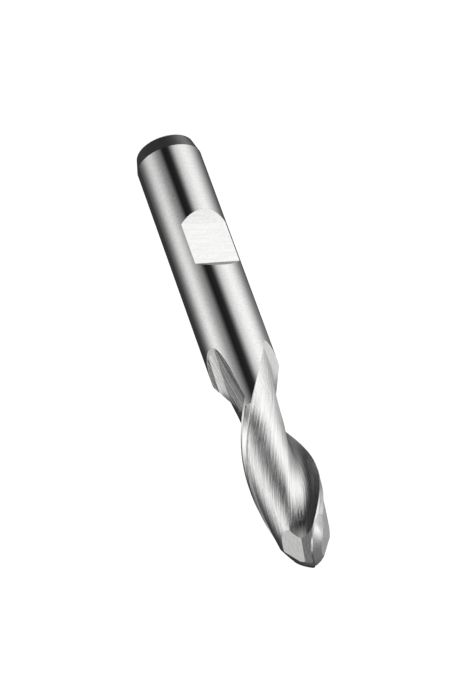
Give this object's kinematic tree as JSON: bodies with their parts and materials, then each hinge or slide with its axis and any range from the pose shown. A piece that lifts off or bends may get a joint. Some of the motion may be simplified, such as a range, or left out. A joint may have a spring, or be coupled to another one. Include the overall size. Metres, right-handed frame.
{
  "type": "ball nose end mill",
  "caption": "Cutting tool with a plain shank, a side clamping flat, helical flutes and a ball-shaped cutting end, for milling rounded grooves and shaped surfaces.",
  "frame": {"origin": "centre of the plane end face of the shank", "axes": "+Z along the tool axis from the shank end to the tip, -Y out of the clamping flat"},
  "size_m": [0.01, 0.01, 0.0717],
  "materials": {
    "ground_steel": "ground to a satin shine"
  },
  "bodies": {
    "root": {"end_mill": "ground_steel"}
  },
  "joints": []
}
